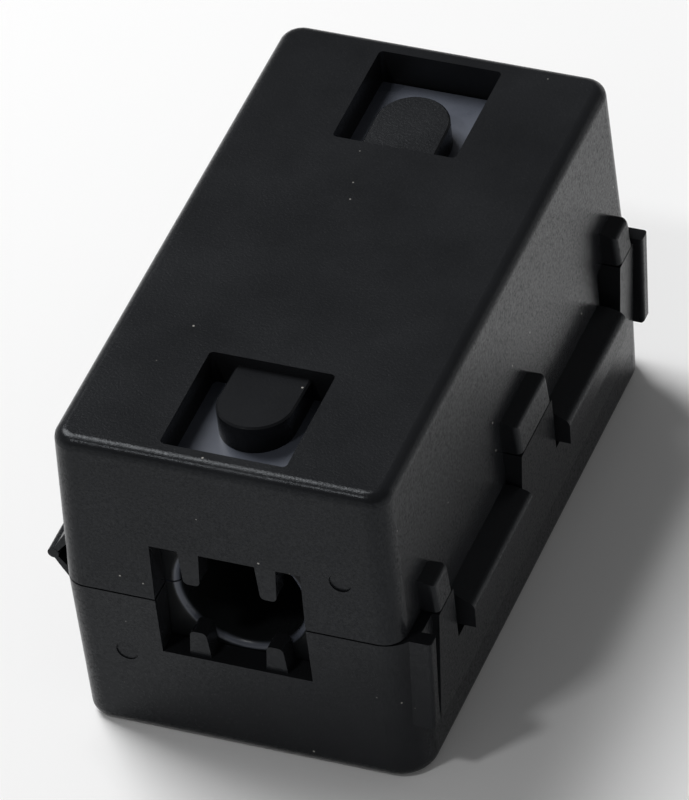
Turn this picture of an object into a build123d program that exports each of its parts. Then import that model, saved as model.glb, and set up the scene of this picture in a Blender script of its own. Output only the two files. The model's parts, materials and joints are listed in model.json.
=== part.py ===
from build123d import *
import math
import os

# Clip-on ferrite bead: a hinged plastic case holding two half cores.
# Millimetres. +Y runs along the cable bore, +X points to the latch side, +Z is up.
# The origin lies on the resting face, straight below the middle of the bore.

# Case body
case_length = 33.0
case_width = 17.8
half_height = 9.55
parting_gap = 0.1
end_draft = 0.32
side_draft = 0.15
corner_radius = 1.2
latch_corner_radius = 1.9
latch_wall_step = 0.56
edge_radius = 0.65
top_wall = 2.0
end_wall = 1.1

# Ferrite core halves
core_clearance = 0.1
bore_radius = 3.3
bore_edge_radius = 0.45
core_edge_chamfer = 0.5

# Windows with spring tongues in the top and bottom walls
window_width = 6.7
window_length = 6.95
window_corner_radius = 0.25
tongue_width = 4.0
tongue_reach = 4.5
tongue_root_sink = 0.6
tongue_tip_sink = 0.33
tongue_edge_chamfer = 0.1

# Cable openings in the end walls
opening_width = 8.05
opening_height = 7.2
finger_width = 1.15
finger_tip_width = 0.85
finger_tip_radius = 0.28
finger_spacing = 4.1
finger_reach_upper = 2.35
finger_reach_lower = 1.6

# Latch side: lugs on the upper half and the pad with its pillars on the lower half
lug_stand = 0.95
lug_rise = 1.75
lug_lean = 0.12
lug_slope_rise = 0.3
lug_edge_radius = 0.32
lug_back_radius = 0.75
end_lug_length = 1.95
mid_lug_length = 4.4
mid_lug_shift = 0.2
front_lug_setback = 2.58
back_lug_setback = 1.73
pad_foot_rise = 0.9
pad_bury = 0.05

# Latch flaps
flap_thickness = 0.85
flap_skin = 0.8
flap_gap = 0.1
flap_length = 8.5
front_flap_shift = 0.1
back_flap_shift = 1.0
flap_drop = 3.85
lip_top_drop = 1.8
lip_nose_drop = 2.35
lip_nose_radius = 0.45
lip_stand = 1.4
lip_low_inset = 0.04
lip_end_radius = 0.45
notch_floor_gap = 0.15
notch_lean = 0.65
catch_height = 0.35
catch_top_drop = 2.2
catch_nose_drop = 2.8
catch_low_drop = 3.0
catch_play = 0.1

# Corner ribs on the latch side of the lower half
rib_stand = 1.33
rib_thickness = 0.8
rib_drop = 5.85
rib_draft = 0.28
rib_edge_radius = 0.2
front_rib_setback = 0.8
back_rib_setback = 0.95

# Folding hinge straps
hinge_reach = 1.2
hinge_thickness = 0.5
hinge_fold_thickness = 0.2
hinge_bulge = 0.1
hinge_length = 8.0
hinge_setback = 1.5
hinge_root_rise = 1.6
hinge_bead_radius = 0.3
hinge_bead_gap = 0.03

# Round moulding marks on the front face
mark_radius = 0.6
mark_depth = 0.08
upper_mark_x = 6.15
upper_mark_rise = 3.7
lower_mark_x = 6.0
lower_mark_drop = 4.1

# Sizes that follow from the ones above
full_height = 2 * half_height
parting_z = half_height
lower_top = parting_z - parting_gap / 2
upper_bottom = parting_z + parting_gap / 2
half_width_out = case_width / 2
half_length_out = case_length / 2
half_width_part = half_width_out + side_draft
half_length_part = half_length_out + end_draft
cavity_half_x = half_width_part - flap_thickness - flap_gap - flap_skin
cavity_half_y = half_length_out - end_wall
core_half_x = cavity_half_x - core_clearance
core_half_y = cavity_half_y - core_clearance
skin_x = cavity_half_x + flap_skin
flap_x = skin_x + flap_gap
pad_x = half_width_part + lug_stand
lip_x = half_width_part + lip_stand
rib_x = half_width_part + rib_stand
buried_x = half_width_out - corner_radius
hinge_x = -(half_width_part + hinge_reach)
front_lug = (-half_length_out + front_lug_setback, -half_length_out + front_lug_setback + end_lug_length)
back_lug = (half_length_out - back_lug_setback - end_lug_length, half_length_out - back_lug_setback)
mid_lug = (mid_lug_shift - mid_lug_length / 2, mid_lug_shift + mid_lug_length / 2)
front_notch = (front_lug[1], mid_lug[0])
back_notch = (mid_lug[1], back_lug[0])
front_flap = (front_notch[1] - front_flap_shift - flap_length, front_notch[1] - front_flap_shift)
back_flap = (back_notch[0] + back_flap_shift, back_notch[0] + back_flap_shift + flap_length)


def block(x0, x1, y0, y1, z0, z1):
    """Plain box between the given limits."""
    centre = Pos((x0 + x1) / 2, (y0 + y1) / 2, (z0 + z1) / 2)
    return centre * Box(abs(x1 - x0), abs(y1 - y0), abs(z1 - z0))


def prism(points, y0, y1):
    """Outline given as X and Z, drawn out along Y."""
    outline = make_face(Polyline(*[(x, y0, z) for x, z in points], close=True))
    return extrude(outline, amount=y1 - y0, dir=(0, 1, 0))


def side_block(x0, x1, span, z0, z1, front_radius, back_radius):
    """Block along X whose side view has a rounded front and back top corner."""
    middle = ((span[0] + span[1]) / 2, (z0 + z1) / 2)
    outline = Plane.YZ.offset(x0) * Pos(*middle) * Rectangle(span[1] - span[0], z1 - z0)
    top_corners = outline.vertices().sort_by(Axis.Z)[-2:].sort_by(Axis.Y)
    if front_radius > 0:
        outline = fillet(top_corners[0], front_radius)
        top_corners = outline.vertices().sort_by(Axis.Y)[-2:].sort_by(Axis.Z)
    outline = fillet(top_corners[-1], back_radius)
    return extrude(outline, amount=x1 - x0, dir=(1, 0, 0))


def body(z_out, z_part, step, latch_radius):
    """Outside of one half with drafted walls, wider by the step on the latch side."""
    across = [
        (-half_width_out, z_out),
        (-half_width_part, z_part),
        (half_width_part + step, z_part),
        (half_width_out + step, z_out),
    ]
    along = [
        (-half_length_out, z_out),
        (-half_length_part, z_part),
        (half_length_part, z_part),
        (half_length_out, z_out),
    ]
    side_view = make_face(Polyline(*[(-half_width_part, y, z) for y, z in along], close=True))
    shape = prism(across, -half_length_part, half_length_part)
    shape &= extrude(side_view, amount=2 * half_width_part + step, dir=(1, 0, 0))
    upright = [e for e in shape.edges() if abs(e.tangent_at(0).Z) > 1 / 2]
    upright.sort(key=lambda e: e.center().X)
    shape = fillet(upright[:2], corner_radius)
    upright = [e for e in shape.edges() if abs(e.tangent_at(0).Z) > 1 / 2]
    upright.sort(key=lambda e: e.center().X)
    shape = fillet(upright[-2:], latch_radius)
    faces = shape.faces().sort_by(Axis.Z)
    rim = faces[-1] if z_out > z_part else faces[0]
    return fillet(rim.edges(), edge_radius)


def cavity(z0, z1):
    """Pocket that holds a core half."""
    return block(-cavity_half_x, cavity_half_x, -cavity_half_y, cavity_half_y, z0, z1)


def window(side, z0, z1):
    """Window with rounded corners through the top or bottom wall near one end."""
    middle = side * (cavity_half_y - window_length / 2)
    outline = Pos(0, middle, z0) * RectangleRounded(window_width, window_length, window_corner_radius)
    return extrude(outline, amount=z1 - z0, dir=(0, 0, 1))


def tongue(side, z_inner, z_out):
    """Round-ended spring tongue over the core inside a window, rising to its tip."""
    way = 1 if z_out > z_inner else -1
    root = side * (cavity_half_y - window_length)
    back = root - side * edge_radius
    tip_radius = tongue_width / 2
    centre_y = root + side * (tongue_reach - tip_radius)
    outline = Pos(0, (back + centre_y) / 2, z_inner) * Rectangle(tongue_width, abs(centre_y - back))
    outline += Pos(0, centre_y, z_inner) * Circle(tip_radius)
    bar = extrude(outline, amount=abs(z_out - z_inner), dir=(0, 0, way))
    slope = (tongue_root_sink - tongue_tip_sink) / tongue_reach
    far = root + side * 2 * tongue_reach
    above = [
        (back, z_out - way * (tongue_root_sink + slope * edge_radius)),
        (far, z_out - way * (tongue_root_sink - 2 * slope * tongue_reach)),
        (far, z_out + way * top_wall),
        (back, z_out + way * top_wall),
    ]
    face = make_face(Polyline(*[(-tongue_width, y, z) for y, z in above], close=True))
    bar -= extrude(face, amount=2 * tongue_width, dir=(1, 0, 0))
    top = bar.faces().sort_by(Axis.Z)[-1 if way > 0 else 0]
    rim = [e for e in top.edges() if side * e.center().Y > side * back + tongue_edge_chamfer]
    return chamfer(rim, tongue_edge_chamfer)


def finger(side, x, z_base, z_tip):
    """Comb finger in an end wall, narrowing to a tip with rounded corners."""
    y_in = side * cavity_half_y
    y_out = side * half_length_out
    z_root = z_base - (z_tip - z_base) / 4
    outline = [
        (x - finger_width / 2, z_root),
        (x - finger_width / 2, z_base),
        (x - finger_tip_width / 2, z_tip),
        (x + finger_tip_width / 2, z_tip),
        (x + finger_width / 2, z_base),
        (x + finger_width / 2, z_root),
    ]
    shape = prism(outline, min(y_in, y_out), max(y_in, y_out))
    tip_edges = [e for e in shape.edges().filter_by(Axis.Y) if abs(e.center().Z - z_tip) < finger_tip_radius]
    return fillet(tip_edges, finger_tip_radius)


def end_opening(side, z_edge, z_part):
    """Half of the cable opening in an end wall."""
    y_in = side * (cavity_half_y - core_clearance)
    y_out = side * (half_length_part + end_wall)
    half = opening_width / 2
    return block(-half, half, y_in, y_out, z_edge, z_part)


def lug(span):
    """Lug above the parting plane, with a sloping top that rounds off to the back."""
    top = upper_bottom + lug_rise + lug_slope_rise
    points = [
        (buried_x, upper_bottom),
        (pad_x, upper_bottom),
        (pad_x - lug_lean, upper_bottom + lug_rise),
        (half_width_out, top),
        (buried_x, top),
    ]
    shape = prism(points, span[0], span[1])
    shape &= side_block(buried_x, pad_x, span, upper_bottom, top, 0, lug_back_radius)
    outside = shape.faces().sort_by(Axis.X)[-1]
    free_edges = [e for e in outside.edges() if e.center().Z > upper_bottom + hinge_bead_gap]
    return fillet(free_edges, lug_edge_radius)


def flap(span):
    """Latch flap hanging from the upper half, with an outward grip lip."""
    catch_x = skin_x + catch_height + catch_play
    plate = [
        (flap_x, upper_bottom + parting_gap),
        (flap_x, parting_z - catch_top_drop + catch_play),
        (catch_x, parting_z - catch_nose_drop + catch_play),
        (catch_x, parting_z - catch_low_drop - catch_play),
        (flap_x, parting_z - catch_low_drop - catch_play),
        (flap_x, parting_z - flap_drop + catch_height),
        (flap_x + catch_height, parting_z - flap_drop),
        (half_width_part, parting_z - flap_drop),
        (half_width_part, upper_bottom),
        (half_width_out, upper_bottom + parting_gap),
    ]
    lip = [
        (catch_x + catch_play, parting_z - lip_top_drop),
        (catch_x + catch_play, parting_z - flap_drop),
        (lip_x - lip_low_inset, parting_z - flap_drop),
        (lip_x, parting_z - lip_nose_drop),
        (half_width_part, parting_z - lip_top_drop),
    ]
    low = parting_z - flap_drop
    high = parting_z - lip_top_drop
    bar = prism(lip, span[0], span[1])
    bar = fillet(bar.edges().filter_by(Axis.Y).sort_by(Axis.X)[-1], lip_nose_radius)
    bar &= side_block(flap_x, lip_x, span, low, high, lip_end_radius, lip_end_radius)
    return prism(plate, span[0], span[1]) + bar


def notch(span, floor):
    """Cut for a flap through the latch wall, with its front side leaning back at the foot."""
    points = [
        (span[0], lower_top + notch_floor_gap),
        (span[0] + notch_lean, floor),
        (span[1], floor),
        (span[1], lower_top + notch_floor_gap),
    ]
    outline = make_face(Polyline(*[(skin_x, y, z) for y, z in points], close=True))
    return extrude(outline, amount=lip_x - skin_x, dir=(1, 0, 0))


def catch(span):
    """Ridge on the lower half that a flap snaps under."""
    root = skin_x - flap_gap
    points = [
        (root, parting_z - catch_top_drop),
        (skin_x, parting_z - catch_top_drop),
        (skin_x + catch_height, parting_z - catch_nose_drop),
        (skin_x + catch_height, parting_z - catch_low_drop),
        (root, parting_z - catch_low_drop),
    ]
    return prism(points, span[0], span[1])


def pad():
    """Raised side of the lower half, level with the lugs and running out towards the foot."""
    wall_x = half_width_out + latch_wall_step
    points = [
        (buried_x, pad_foot_rise),
        (buried_x, lower_top),
        (pad_x, lower_top),
        (wall_x - pad_bury, pad_foot_rise),
    ]
    return prism(points, front_lug[0], back_lug[1])


def corner_rib(y_middle):
    """Upright rib beside the pad at one end of the lower half."""
    points = [
        (buried_x, lower_top),
        (rib_x, lower_top),
        (rib_x - rib_draft, parting_z - rib_drop),
        (buried_x, parting_z - rib_drop),
    ]
    shape = prism(points, y_middle - rib_thickness / 2, y_middle + rib_thickness / 2)
    outside = shape.faces().sort_by(Axis.X)[-1]
    free_edges = [e for e in outside.edges() if e.center().Z < lower_top - parting_gap]
    return fillet(free_edges, rib_edge_radius)


def hinge_leaf(side, way):
    """Strap from the thin fold to the wall, upwards or downwards, bulging outwards."""
    y_outer = side * (half_length_out - hinge_setback)
    y_inner = y_outer - side * hinge_length
    y0 = min(y_outer, y_inner)
    run = math.atan2(hinge_root_rise, hinge_reach)
    reach_in = hinge_reach + side_draft + edge_radius
    far = reach_in / math.cos(run)

    def place(along, out):
        """Point on the leaf, from its distance along the leaf and outwards from it."""
        x = hinge_x + along * math.cos(run) - out * math.sin(run)
        z = parting_z + way * (along * math.sin(run) + out * math.cos(run))
        return (x, y0, z)

    fold = hinge_fold_thickness / 2
    root = hinge_thickness / 2
    outside = ThreePointArc(place(0, fold), place(far / 2, (fold + root) / 2 + hinge_bulge), place(far, root))
    inside = Polyline(place(far, root), place(far, -root), place(0, -fold), place(0, fold))
    return extrude(make_face(outside + inside), amount=hinge_length, dir=(0, 1, 0))


def hinge_bead(side, radius):
    """Round bead on the fold line."""
    y_middle = side * (half_length_out - hinge_setback - hinge_length / 2)
    return Pos(hinge_x, y_middle, parting_z) * Rot(90, 0, 0) * Cylinder(radius, hinge_length)


def mark(x, z):
    """Shallow round moulding mark on the front face."""
    share = abs(z - parting_z) / half_height
    face_y = -half_length_part + end_draft * share
    return Pos(x, face_y, z) * Rot(90, 0, 0) * Cylinder(mark_radius, 2 * mark_depth)


def shell(z_out, z_part, way, step, latch_radius):
    """One half of the case without its latch and hinge features."""
    z_inner = z_out - way * top_wall
    z_edge = parting_z + way * opening_height / 2
    reach = finger_reach_upper if way > 0 else finger_reach_lower
    shape = body(z_out, z_part, step, latch_radius) - cavity(z_inner, z_part)
    for side in (-1, 1):
        shape -= window(side, z_inner, z_out)
        shape += tongue(side, z_inner, z_out)
        shape -= end_opening(side, z_edge, z_part)
        for x in (-finger_spacing / 2, finger_spacing / 2):
            shape += finger(side, x, z_edge, z_edge - way * reach)
    return shape


def upper_case():
    """Upper half with its lugs, latch flaps and hinge leaves."""
    shape = shell(full_height, upper_bottom, 1, 0, corner_radius)
    for span in (front_lug, mid_lug, back_lug):
        shape += lug(span)
    for span in (front_flap, back_flap):
        shape += flap(span)
    for side in (-1, 1):
        leaf = hinge_leaf(side, 1) - cavity(0, full_height)
        shape += leaf - hinge_bead(side, hinge_bead_radius + hinge_bead_gap)
    shape -= mark(upper_mark_x, parting_z + upper_mark_rise)
    return shape


def lower_case():
    """Lower half with its pad, notches, catches, ribs and hinge leaves."""
    shape = shell(0, lower_top, -1, latch_wall_step, latch_corner_radius)
    shape += pad()
    floor = parting_z - flap_drop - notch_floor_gap
    for span in (front_notch, back_notch):
        shape -= notch(span, floor)
        shape += catch(span)
    shape += corner_rib(-half_length_out + front_rib_setback)
    shape += corner_rib(half_length_out - back_rib_setback)
    for side in (-1, 1):
        leaf = hinge_leaf(side, -1) - cavity(0, full_height)
        shape += leaf + hinge_bead(side, hinge_bead_radius)
    shape -= mark(-lower_mark_x, parting_z - lower_mark_drop)
    return shape


def core_half(z_out, z_part):
    """Half of the ferrite core with its half of the bore."""
    shape = block(-core_half_x, core_half_x, -core_half_y, core_half_y, z_out, z_part)
    outer = shape.edges().filter_by(Axis.Y).sort_by(Axis.Z)
    rim = outer[-2:] if z_out > z_part else outer[:2]
    shape = chamfer(rim, core_edge_chamfer)
    bore = Pos(0, 0, parting_z) * Rot(90, 0, 0) * Cylinder(bore_radius, 2 * core_half_y)
    shape -= bore
    arcs = [e for e in shape.edges().filter_by(GeomType.CIRCLE)]
    return fillet(arcs, bore_edge_radius)


def lower_core():
    """Core half lying in the lower case half."""
    return core_half(top_wall, lower_top)


def upper_core():
    """Core half lying in the upper case half."""
    return core_half(full_height - top_wall, upper_bottom)


os.makedirs("parts", exist_ok=True)
export_step(lower_case(), "parts/lower_case.step")
export_step(upper_case(), "parts/upper_case.step")
export_step(lower_core(), "parts/lower_core.step")
export_step(upper_core(), "parts/upper_core.step")
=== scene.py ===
import json
import bpy
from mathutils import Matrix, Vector

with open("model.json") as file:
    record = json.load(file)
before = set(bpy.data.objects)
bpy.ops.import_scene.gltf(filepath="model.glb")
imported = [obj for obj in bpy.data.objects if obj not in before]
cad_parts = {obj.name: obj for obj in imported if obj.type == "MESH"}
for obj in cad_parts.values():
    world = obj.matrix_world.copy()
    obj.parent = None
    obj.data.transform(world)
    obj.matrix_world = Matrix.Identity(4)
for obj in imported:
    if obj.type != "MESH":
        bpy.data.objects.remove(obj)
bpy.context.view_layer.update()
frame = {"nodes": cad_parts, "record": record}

nodes = frame["nodes"]
mounts = {mount["name"]: mount for mount in frame["record"]["mounts"]}

# Lengths are in metres, apart from the camera's lens and sensor, in millimetres.
# Colours are linear, and a texture scale is in cells per metre.

# The stretches of the soft noise that shade and roughen both materials
CLOUD_SHADE_RANGE = (0.35, 0.65)
CLOUD_ROUGHNESS_RANGE = (0.3, 0.7)

# Black plastic
PLASTIC_DARK = (0.0100, 0.0106, 0.0119, 1.0)
PLASTIC_LIGHT = (0.0128, 0.0135, 0.0151, 1.0)
PLASTIC_ROUGHNESS = (0.21, 0.26)
PLASTIC_IOR = 1.215
PLASTIC_GLOSS_TINT = (0.90, 0.95, 1.0, 1.0)
PLASTIC_CLOUD_SCALE = 160.0
PLASTIC_GRAIN_SCALE = 8000.0
PLASTIC_GRAIN_STRENGTH = 0.42
PLASTIC_GRAIN_DEPTH = 0.000026

# Speckled gloss of the plastic, with its full spread only where the view is slanting
SPECKLE_SCALE = 7000.0
SPECKLE_NOISE_RANGE = (0.34, 0.66)
SPECKLE_MIDDLE = 0.60
SPECKLE_SPREAD = 0.45
SPECKLE_SLANT_BLEND = 0.5
SPECKLE_SLANT_RANGE = (0.40, 0.62)
SPECKLE_LEAST_SHARE = 0.45

# Dust on the plastic. A speck's radius is a share of its cell's width, and its full middle
# is a share of that radius. Dust lies in a share of the cells.
DUST = (0.32, 0.31, 0.29, 1.0)
DUST_SCALE = 600.0
DUST_RADIUS = 0.042
DUST_MIDDLE = 0.6
DUST_SHARE = 0.6

# Ferrite
FERRITE_DARK = (0.068, 0.076, 0.097, 1.0)
FERRITE_LIGHT = (0.092, 0.102, 0.128, 1.0)
FERRITE_ROUGHNESS = (0.24, 0.34)
FERRITE_IOR = 1.45
FERRITE_GLOSS = 0.5
FERRITE_CLOUD_SCALE = 300.0
FERRITE_GRAIN_SCALE = 9000.0
FERRITE_GRAIN_STRENGTH = 0.15
FERRITE_GRAIN_DEPTH = 0.00002

# Painted shade on the ends and in the bore of the ferrite, which also get less gloss
ENDS_PAINTED_SHADE = (0.010, 0.011, 0.012, 1.0)
ENDS_SHADE_GLOSS = 0.10
ENDS_NORMAL_RANGE = (0.93, 0.985)
BORE_AXIS_Z = mounts["cable_opening_front"]["pos_m"][2]
BORE_RADIUS = 0.0033
BORE_FADE_START = 0.00002
BORE_FADE_STOP = 0.00012

# Floor and surroundings
FLOOR_HALF = 0.6
FLOOR_WHITE = (0.97, 0.97, 0.97, 1.0)
FLOOR_ROUGHNESS = 0.9
FLOOR_GLOSS = 0.1
SKY_WHITE = (1.0, 1.0, 1.0, 1.0)
SKY_RISE_RANGE = (0.06, 0.40)
SKY_STRENGTH = (0.85, 0.12)

# Lamps: a broad one from the back left, and a small high one from the front left
LAMP_TARGET = (0, 0, 0.01)
KEY_PLACE = (-0.30, 0.16, 0.50)
KEY_SIZE = 0.28
KEY_POWER = 3.2
GLINT_PLACE = (-0.16, -0.26, 0.50)
GLINT_SIZE = 0.05
GLINT_POWER = 0.40

# Camera, solved from the photograph's edges
CAMERA_PLACE = (0.142828, -0.302790, 0.310573)
CAMERA_TURN = (0.834586, 0.086067, 0.364008)
CAMERA_LENS = 399.33
CAMERA_SENSOR = 36.0
CAMERA_NEAR = 0.01
CAMERA_FAR = 5.0


def new_material(name):
    """An empty node material with its output and main shader."""
    material = bpy.data.materials.new(name)
    material.use_nodes = True
    tree = material.node_tree
    tree.nodes.clear()
    out = tree.nodes.new("ShaderNodeOutputMaterial")
    shader = tree.nodes.new("ShaderNodeBsdfPrincipled")
    tree.links.new(shader.outputs["BSDF"], out.inputs["Surface"])
    return material, tree, shader


def feed(tree, target, value):
    """Give an input a value: the output of another node, a number or a colour."""
    if isinstance(value, bpy.types.NodeSocket):
        tree.links.new(value, target)
    else:
        target.default_value = value


def coordinate(tree, kind):
    """A texture coordinate, such as Object or Normal."""
    return tree.nodes.new("ShaderNodeTexCoord").outputs[kind]


def split_vector(tree, source):
    """The X, Y and Z of a vector."""
    node = tree.nodes.new("ShaderNodeSeparateXYZ")
    feed(tree, node.inputs["Vector"], source)
    return node.outputs


def noise(tree, source, scale, detail, rough=0.55):
    """Noise at the given coordinate."""
    node = tree.nodes.new("ShaderNodeTexNoise")
    feed(tree, node.inputs["Vector"], source)
    feed(tree, node.inputs["Scale"], scale)
    feed(tree, node.inputs["Detail"], detail)
    feed(tree, node.inputs["Roughness"], rough)
    return node.outputs["Fac"]


def remap(tree, source, span, result=(0.0, 1.0)):
    """A value taken from one range to another, and held at its ends."""
    node = tree.nodes.new("ShaderNodeMapRange")
    feed(tree, node.inputs["Value"], source)
    feed(tree, node.inputs["From Min"], span[0])
    feed(tree, node.inputs["From Max"], span[1])
    feed(tree, node.inputs["To Min"], result[0])
    feed(tree, node.inputs["To Max"], result[1])
    return node.outputs["Result"]


def combine(tree, operation, first, second=0.0):
    """A math step on one or two values."""
    node = tree.nodes.new("ShaderNodeMath")
    node.operation = operation
    feed(tree, node.inputs[0], first)
    feed(tree, node.inputs[1], second)
    return node.outputs["Value"]


def mix_colour(tree, factor, first, second):
    """A mix of two colours, all the second where the factor is 1."""
    node = tree.nodes.new("ShaderNodeMix")
    node.data_type = "RGBA"
    feed(tree, node.inputs["Factor"], factor)
    feed(tree, node.inputs["A"], first)
    feed(tree, node.inputs["B"], second)
    return node.outputs["Result"]


def add_grain(tree, shader, height, strength, depth):
    """Small relief from a height."""
    node = tree.nodes.new("ShaderNodeBump")
    feed(tree, node.inputs["Height"], height)
    feed(tree, node.inputs["Strength"], strength)
    feed(tree, node.inputs["Distance"], depth)
    feed(tree, shader.inputs["Normal"], node.outputs["Normal"])


def dust_mask(tree, source):
    """Sparse round specks, each alone in its cell, in a share of the cells."""
    node = tree.nodes.new("ShaderNodeTexVoronoi")
    feed(tree, node.inputs["Vector"], source)
    feed(tree, node.inputs["Scale"], DUST_SCALE)
    split = tree.nodes.new("ShaderNodeSeparateColor")
    feed(tree, split.inputs["Color"], node.outputs["Color"])
    edge = (DUST_RADIUS * DUST_MIDDLE, DUST_RADIUS)
    near = remap(tree, node.outputs["Distance"], edge, (1.0, 0.0))
    chosen = combine(tree, "LESS_THAN", split.outputs["Red"], DUST_SHARE)
    return combine(tree, "MULTIPLY", near, chosen)


def speckled_gloss(tree, source):
    """A gloss level in fine speckles, strongest where the view is slanting."""
    slant = tree.nodes.new("ShaderNodeLayerWeight")
    feed(tree, slant.inputs["Blend"], SPECKLE_SLANT_BLEND)
    facing = slant.outputs["Facing"]
    share = remap(tree, facing, SPECKLE_SLANT_RANGE, (SPECKLE_LEAST_SHARE, 1.0))
    fine = noise(tree, source, SPECKLE_SCALE, detail=3.0, rough=0.7)
    spread = remap(tree, fine, SPECKLE_NOISE_RANGE, (-SPECKLE_SPREAD, SPECKLE_SPREAD))
    return combine(tree, "ADD", combine(tree, "MULTIPLY", spread, share), SPECKLE_MIDDLE)


def black_plastic():
    """Nearly black nylon with a fine moulded grain and a few specks of dust."""
    material, tree, shader = new_material("case_plastic")
    place = coordinate(tree, "Object")
    cloud = noise(tree, place, PLASTIC_CLOUD_SCALE, detail=3.0)
    grain = noise(tree, place, PLASTIC_GRAIN_SCALE, detail=3.0, rough=0.6)
    shade = remap(tree, cloud, CLOUD_SHADE_RANGE)
    clean = mix_colour(tree, shade, PLASTIC_DARK, PLASTIC_LIGHT)
    dusty = mix_colour(tree, dust_mask(tree, place), clean, DUST)
    feed(tree, shader.inputs["Base Color"], dusty)
    roughness = remap(tree, cloud, CLOUD_ROUGHNESS_RANGE, PLASTIC_ROUGHNESS)
    feed(tree, shader.inputs["Roughness"], roughness)
    feed(tree, shader.inputs["IOR"], PLASTIC_IOR)
    feed(tree, shader.inputs["Specular Tint"], PLASTIC_GLOSS_TINT)
    feed(tree, shader.inputs["Specular IOR Level"], speckled_gloss(tree, place))
    add_grain(tree, shader, grain, PLASTIC_GRAIN_STRENGTH, PLASTIC_GRAIN_DEPTH)
    return material


def bore_shade_mask(tree, source):
    """Painted shade in the bore: 1 inside it, and fading to 0 on its rounded mouth."""
    place = split_vector(tree, source)
    up = combine(tree, "SUBTRACT", place["Z"], BORE_AXIS_Z)
    across_squared = combine(tree, "MULTIPLY", place["X"], place["X"])
    up_squared = combine(tree, "MULTIPLY", up, up)
    radius = combine(tree, "SQRT", combine(tree, "ADD", across_squared, up_squared))
    fade = (BORE_RADIUS + BORE_FADE_START, BORE_RADIUS + BORE_FADE_STOP)
    return remap(tree, radius, fade, (1.0, 0.0))


def end_shade_mask(tree):
    """Painted shade on the ends: 1 on the faces that look along the bore."""
    way = split_vector(tree, coordinate(tree, "Normal"))
    return remap(tree, combine(tree, "ABSOLUTE", way["Y"]), ENDS_NORMAL_RANGE)


def ferrite():
    """Bluish grey ferrite, with shade painted near-black on its end faces and in its bore.
    """
    material, tree, shader = new_material("ferrite")
    place = coordinate(tree, "Object")
    cloud = noise(tree, place, FERRITE_CLOUD_SCALE, detail=4.0)
    grain = noise(tree, place, FERRITE_GRAIN_SCALE, detail=4.0, rough=0.6)
    shade = remap(tree, cloud, CLOUD_SHADE_RANGE)
    outside = mix_colour(tree, shade, FERRITE_DARK, FERRITE_LIGHT)
    # Painted shade: the end faces and the bore take a near-black colour and less gloss
    painted_shade = combine(tree, "MAXIMUM", bore_shade_mask(tree, place), end_shade_mask(tree))
    feed(tree, shader.inputs["Base Color"], mix_colour(tree, painted_shade, outside, ENDS_PAINTED_SHADE))
    roughness = remap(tree, cloud, CLOUD_ROUGHNESS_RANGE, FERRITE_ROUGHNESS)
    feed(tree, shader.inputs["Roughness"], roughness)
    feed(tree, shader.inputs["IOR"], FERRITE_IOR)
    gloss = remap(tree, painted_shade, (0.0, 1.0), (FERRITE_GLOSS, ENDS_SHADE_GLOSS))
    feed(tree, shader.inputs["Specular IOR Level"], gloss)
    add_grain(tree, shader, grain, FERRITE_GRAIN_STRENGTH, FERRITE_GRAIN_DEPTH)
    return material


def white_floor():
    """Matt white for the floor."""
    material, tree, shader = new_material("floor_white")
    feed(tree, shader.inputs["Base Color"], FLOOR_WHITE)
    feed(tree, shader.inputs["Roughness"], FLOOR_ROUGHNESS)
    feed(tree, shader.inputs["Specular IOR Level"], FLOOR_GLOSS)
    return material


def add_object(name, data):
    """A new object in the scene."""
    added = bpy.data.objects.new(name, data)
    bpy.context.scene.collection.objects.link(added)
    return added


def add_floor():
    """A square floor at the height that the part stands on."""
    half = FLOOR_HALF
    corners = [(-half, -half, 0), (half, -half, 0), (half, half, 0), (-half, half, 0)]
    mesh = bpy.data.meshes.new("floor")
    mesh.from_pydata(corners, [], [(0, 1, 2, 3)])
    mesh.materials.append(white_floor())
    return add_object("floor", mesh)


def add_surroundings():
    """Soft white, bright up to a little above the horizon and dim overhead."""
    world = bpy.data.worlds.new("studio")
    bpy.context.scene.world = world
    world.use_nodes = True
    tree = world.node_tree
    sky = tree.nodes["Background"]
    rise = split_vector(tree, coordinate(tree, "Generated"))["Z"]
    feed(tree, sky.inputs["Color"], SKY_WHITE)
    feed(tree, sky.inputs["Strength"], remap(tree, rise, SKY_RISE_RANGE, SKY_STRENGTH))


def add_lamp(name, place, size, power):
    """A square lamp that faces the part."""
    data = bpy.data.lights.new(name, "AREA")
    data.shape = "RECTANGLE"
    data.size = size
    data.size_y = size
    data.energy = power
    lamp = add_object(name, data)
    lamp.location = place
    way = Vector(LAMP_TARGET) - Vector(place)
    lamp.rotation_euler = way.to_track_quat("-Z", "Y").to_euler()


def add_camera():
    """A camera with the photograph's view, from the front right and above."""
    data = bpy.data.cameras.new("camera")
    data.lens = CAMERA_LENS
    data.sensor_width = CAMERA_SENSOR
    data.clip_start = CAMERA_NEAR
    data.clip_end = CAMERA_FAR
    camera = add_object("camera", data)
    camera.location = CAMERA_PLACE
    camera.rotation_euler = CAMERA_TURN
    bpy.context.scene.camera = camera


case_look = black_plastic()
core_look = ferrite()
looks = {
    "lower_case": case_look,
    "upper_case": case_look,
    "lower_core": core_look,
    "upper_core": core_look,
}
for name, look in looks.items():
    for slot in nodes[name].material_slots:
        slot.material = look

floor = add_floor()
add_surroundings()
add_lamp("key", KEY_PLACE, KEY_SIZE, KEY_POWER)
add_lamp("glint", GLINT_PLACE, GLINT_SIZE, GLINT_POWER)
add_camera()
bpy.context.scene.view_settings.view_transform = "Standard"
